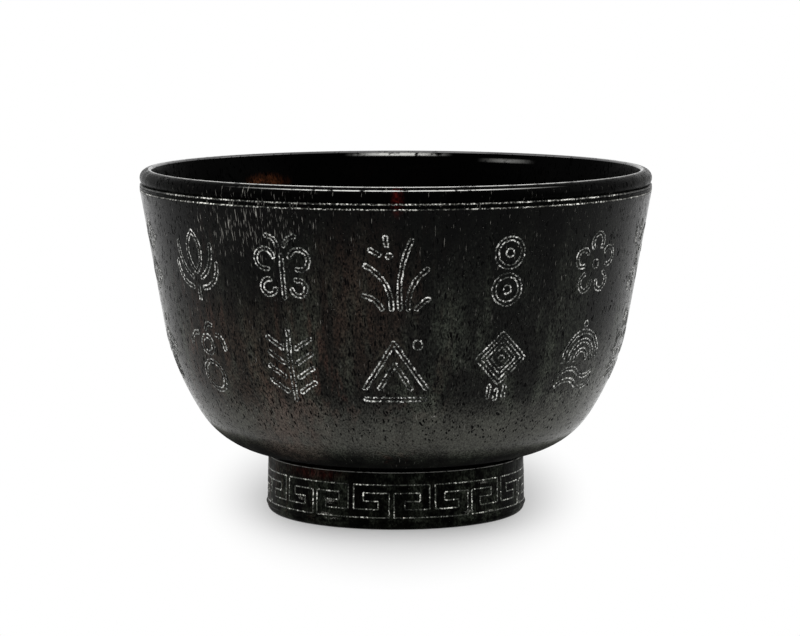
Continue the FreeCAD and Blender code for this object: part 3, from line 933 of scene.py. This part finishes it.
# The key fret: one repeat drawn flat, repeated along a strip, then wrapped round the foot

fret = {
    "repeats": 10,
    "low": 2.05,
    "high": 7.3,
    "turn": -1.8,  # degrees
    "width": 0.24,
    "depth": 0.55,
    "proud": 0.035,
    "cornerRound": 0.13,
    "sectionRoundShare": 0.2,  # of the wire's width
    "hammering": 0.03,
    "grain": 1.1,
    "seed": 0.83,
    "sharpAngle": 50,
    "cuts": 5,  # points added between two corners
    "cornerSteps": 3,
    "sectionSteps": 2,
    "path": [  # one repeat, as shares of its width and height
        (0.0, 0.0), (0.47, 0.0), (0.47, 0.75), (0.155, 0.75), (0.155, 0.5), (0.34, 0.5),
        (0.34, 0.25), (0.035, 0.25), (0.035, 1.0), (0.965, 1.0), (0.965, 0.25), (0.66, 0.25),
        (0.66, 0.5), (0.845, 0.5), (0.845, 0.75), (0.53, 0.75), (0.53, 0.0), (1.0, 0.0),
    ],
}


def filleted(tree, curve, count, radius):
    feeds = {"Curve": curve, "Count": count, "Radius": radius}
    return addNode(tree, "GeometryNodeFilletCurve", feeds, mode="POLY").outputs[0]


def fretTree():
    tree, given = newTree("fretRoundFoot", [
        ("Repeats", "Int"), ("Strip radius", "Float"), ("Foot radius at base", "Float"),
        ("Flare", "Float"), ("Turn", "Float"), ("Corner round", "Float"), ("Wire width", "Float"),
        ("Wire depth", "Float"), ("Proud", "Float"), ("Unevenness", "Float"), ("Seed", "Float"),
        ("Finish", "Material"),
    ])
    path = addNode(tree, "GeometryNodeMeshToCurve", {"Mesh": given["Geometry"]}).outputs[0]
    path = addNode(tree, "GeometryNodeSubdivideCurve", {"Curve": path, "Cuts": fret["cuts"]}).outputs[0]
    path = filleted(tree, path, fret["cornerSteps"], given["Corner round"])
    path = addNode(tree, "GeometryNodeSetCurveNormal", {"Curve": path}, mode="Z_UP").outputs[0]
    # the strip lies in the x-y plane: x runs round the foot, y is height and z stands out
    feeds = {"Width": given["Wire width"], "Height": given["Wire depth"]}
    section = addNode(tree, "GeometryNodeCurvePrimitiveQuadrilateral", feeds).outputs[0]
    sectionRound = product(tree, given["Wire width"], fret["sectionRoundShare"])
    section = filleted(tree, section, fret["sectionSteps"], sectionRound)
    feeds = {"Curve": path, "Profile Curve": section, "Fill Caps": True}
    wire = addNode(tree, "GeometryNodeCurveToMesh", feeds).outputs[0]
    length = product(tree, given["Strip radius"], fullTurn)
    pitch = maths(tree, "DIVIDE", length, given["Repeats"])
    feeds = {"Count": given["Repeats"], "Offset": combine(tree, pitch, 0.0, 0.0)}
    row = addNode(tree, "GeometryNodeMeshLine", feeds).outputs[0]
    feeds = {"Points": row, "Instance": wire}
    repeats = addNode(tree, "GeometryNodeInstanceOnPoints", feeds).outputs[0]
    strip = addNode(tree, "GeometryNodeRealizeInstances", {"Geometry": repeats}).outputs[0]

    parts = separate(tree, positions(tree))
    sink = maths(tree, "SUBTRACT", given["Proud"], product(tree, given["Wire depth"], 0.5))
    radius = maths(tree, "MULTIPLY_ADD", parts["Y"], given["Flare"], given["Foot radius at base"])
    radius = maths(tree, "ADD", radius, maths(tree, "ADD", parts["Z"], sink))
    angle = maths(tree, "DIVIDE", parts["X"], given["Strip radius"])
    angle = maths(tree, "ADD", angle, given["Turn"])
    wrapped = movedTo(tree, strip, roundAxis(tree, radius, angle, parts["Y"]))
    wrapped = shaken(tree, wrapped, given["Unevenness"], fret["grain"] / mm, given["Seed"])
    wrapped = smoothed(tree, wrapped, math.radians(fret["sharpAngle"]))
    closeTree(tree, paint(tree, wrapped, given["Finish"]))
    return tree


stripRadius = footRadius((fret["low"] + fret["high"]) / 2)
stripPitch = fullTurn * stripRadius / fret["repeats"]
fretRise = fret["high"] - fret["low"]
repeatPoints = [(x * stripPitch * mm, (fret["low"] + y * fretRise) * mm, 0) for x, y in fret["path"]]
repeatMesh = bpy.data.meshes.new("fretRepeat")
repeatMesh.from_pydata(repeatPoints, [(i, i + 1) for i in range(len(repeatPoints) - 1)], [])
fretPiece = makePiece("footFret", repeatMesh, fretTree(), {
    "Repeats": fret["repeats"],
    "Strip radius": stripRadius * mm,
    "Foot radius at base": footRadius(0) * mm,
    "Flare": footRadius(1) - footRadius(0),
    "Turn": math.radians(fret["turn"]) - fullTurn / fret["repeats"] / 2,
    "Corner round": fret["cornerRound"] * mm,
    "Wire width": fret["width"] * mm,
    "Wire depth": fret["depth"] * mm,
    "Proud": fret["proud"] * mm,
    "Unevenness": fret["hammering"] * mm,
    "Seed": fret["seed"],
    "Finish": fretSilver,
})
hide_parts(*sorted(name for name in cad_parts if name.startswith("fret_wire_")))

for piece in [bowlPiece, footPiece, fretPiece, *hoopPieces]:
    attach(piece, "root")


# The ornaments: the wires as they were laid by hand, a little uneven along the wall

inlay = {
    "unevenness": 0.5,
    "grain": 0.9,  # noise per millimetre
    "grainDetail": 4.0,
    "ballCentreHeight": 38.176,
    "merge": 0.0005,  # the CAD meshes' corners closer than this become one
    "subdivisions": 1,
    "sharpAngle": 50,
    "seedStep": 0.05,  # from one ornament to the next
}


def inlayTree():
    tree, given = newTree("laidByHand", [
        ("Unevenness", "Float"), ("Grain of unevenness", "Float"), ("Lean", "Float"),
        ("Ball centre height", "Float"), ("Seed", "Float"), ("Finish", "Material"),
    ])
    joined = merged(tree, given["Geometry"], inlay["merge"] * mm)
    feeds = {"Mesh": joined, "Level": inlay["subdivisions"]}
    fine = addNode(tree, "GeometryNodeSubdivideMesh", feeds).outputs[0]
    position = positions(tree)
    parts = separate(tree, position)
    squares = [product(tree, parts[axis], parts[axis]) for axis in ("X", "Y")]
    radius = maths(tree, "SQRT", maths(tree, "ADD", *squares))
    # the wall is part of a ball below and a cone above, and its normals meet on the axis
    rise = product(tree, radius, maths(tree, "TANGENT", given["Lean"]))
    meeting = maths(tree, "ADD", parts["Z"], rise)
    meeting = maths(tree, "MAXIMUM", meeting, given["Ball centre height"])
    outward = vectorMaths(tree, "SUBTRACT", position, combine(tree, 0.0, 0.0, meeting))
    outward = vectorMaths(tree, "NORMALIZE", outward)
    centred = centredNoise(tree, given["Grain of unevenness"], given["Seed"], inlay["grainDetail"])
    lift = vectorMaths(tree, "DOT_PRODUCT", centred, outward)
    along = vectorMaths(tree, "SUBTRACT", centred, scaledVector(tree, outward, lift))
    laid = movedBy(tree, fine, scaledVector(tree, along, given["Unevenness"]))
    laid = smoothed(tree, laid, math.radians(inlay["sharpAngle"]))
    closeTree(tree, paint(tree, laid, given["Finish"]))
    return tree


layWires = inlayTree()
for number, name in enumerate(sorted(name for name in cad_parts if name.startswith("inlay_"))):
    piece = makePiece(name.replace("inlay", "ornament"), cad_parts[name].data.copy(), layWires, {
        "Unevenness": inlay["unevenness"] * mm,
        "Grain of unevenness": inlay["grain"] / mm,
        "Lean": math.radians(bowl["lean"]),
        "Ball centre height": inlay["ballCentreHeight"] * mm,
        "Seed": inlay["seedStep"] * number,
        "Finish": inlaySilver,
    })
    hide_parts(name)
    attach(piece, "root")


# Floor, lights, world and camera

stageLook = {
    "floorHalf": 4.0,
    "floorColour": (0.62, 0.62, 0.62, 1),
    "floorLift": 0.25,
    "whiteFrom": (0.0172, 0.034),  # the floor fades to plain white over this distance
    "fadeShape": (1.0, 0.35, 1.0),  # sooner at the sides than in front
    "fadeCentre": (0.0, -0.0088, 0.0),
    "ambient": 0.50,
    "softboxAim": Vector((0, 0, 0.03)),
}


def seenDirectly(tree):
    path = addNode(tree, "ShaderNodeLightPath").outputs
    seen = maths(tree, "MAXIMUM", path["Is Camera Ray"], path["Is Glossy Ray"])
    return maths(tree, "MAXIMUM", seen, path["Is Transmission Ray"])


def floorMaterial(look):
    material = bpy.data.materials.new("paleFloor")
    material.use_nodes = True
    tree = material.node_tree
    tree.nodes.clear()
    base = addNode(tree, "ShaderNodeBsdfDiffuse", {"Color": look["floorColour"]}).outputs[0]
    lift = addNode(tree, "ShaderNodeEmission", {"Strength": look["floorLift"]}).outputs[0]
    near = addNode(tree, "ShaderNodeAddShader", {0: base, 1: lift}).outputs[0]
    white = addNode(tree, "ShaderNodeEmission", {"Strength": 1.0}).outputs[0]
    place = addNode(tree, "ShaderNodeTexCoord").outputs["Object"]
    place = stretched(tree, place, look["fadeShape"], look["fadeCentre"])
    fade = ramp(tree, vectorMaths(tree, "LENGTH", place), *look["whiteFrom"])
    shown = addNode(tree, "ShaderNodeMixShader", {0: fade, 1: near, 2: white}).outputs[0]
    final = addNode(tree, "ShaderNodeMixShader", {0: seenDirectly(tree), 1: base, 2: shown})
    addNode(tree, "ShaderNodeOutputMaterial", {"Surface": final.outputs[0]})
    return material


half = stageLook["floorHalf"]
floorMesh = bpy.data.meshes.new("floor")
floorCorners = [(-half, -half, 0), (half, -half, 0), (half, half, 0), (-half, half, 0)]
floorMesh.from_pydata(floorCorners, [], [(0, 1, 2, 3)])
floor = bpy.data.objects.new("floor", floorMesh)
floorMesh.materials.append(floorMaterial(stageLook))
bpy.context.scene.collection.objects.link(floor)

world = bpy.data.worlds.new("lightTent")
bpy.context.scene.world = world
world.use_nodes = True
tree = world.node_tree
tree.nodes.clear()
plainWhite = (1, 1, 1, 1)
feeds = {"Color": plainWhite, "Strength": stageLook["ambient"]}
ambient = addNode(tree, "ShaderNodeBackground", feeds).outputs[0]
white = addNode(tree, "ShaderNodeBackground", {"Color": plainWhite, "Strength": 1.0}).outputs[0]
mixed = addNode(tree, "ShaderNodeMixShader", {0: seenDirectly(tree), 1: ambient, 2: white})
addNode(tree, "ShaderNodeOutputWorld", {"Surface": mixed.outputs[0]})

softboxes = {  # place, width and height in metres, watts
    "softboxAbove": ((-0.10, -0.30, 0.70), (0.70, 0.70), 2.4),
    "softboxLeft": ((-0.60, -0.05, 0.25), (0.45, 0.60), 1.1),
    "softboxRight": ((0.60, -0.05, 0.25), (0.45, 0.60), 1.3),
}
for name, (place, size, watts) in softboxes.items():
    lamp = bpy.data.lights.new(name, "AREA")
    lamp.shape = "RECTANGLE"
    lamp.size, lamp.size_y = size
    lamp.energy = watts
    holder = bpy.data.objects.new(name, lamp)
    holder.location = place
    direction = stageLook["softboxAim"] - Vector(place)
    holder.rotation_euler = direction.to_track_quat("-Z", "Y").to_euler()
    bpy.context.scene.collection.objects.link(holder)

cameraView = {
    "focalPixels": 3399.0,  # focal length, for a picture as wide as the next line says
    "pictureWidth": 800,
    "sensorWidth": 36.0,
    "clipStart": 0.01,
    "pitch": 6.76,  # degrees below the horizontal
    "distance": 0.5566,
    "aim": Vector((0.00068, 0, 0.0315124)),
}
cameraData = bpy.data.cameras.new("camera")
cameraData.sensor_fit = "HORIZONTAL"
cameraData.sensor_width = cameraView["sensorWidth"]
cameraData.lens = cameraView["focalPixels"] / cameraView["pictureWidth"] * cameraView["sensorWidth"]
cameraData.clip_start = cameraView["clipStart"]
camera = bpy.data.objects.new("camera", cameraData)
pitch = math.radians(cameraView["pitch"])
towardsCamera = Vector((0, -math.cos(pitch), math.sin(pitch)))
camera.location = cameraView["aim"] + towardsCamera * cameraView["distance"]
camera.rotation_euler = (math.pi / 2 - pitch, 0, 0)
bpy.context.scene.collection.objects.link(camera)
bpy.context.scene.camera = camera
bpy.context.scene.view_settings.view_transform = "Standard"
print("stage set")
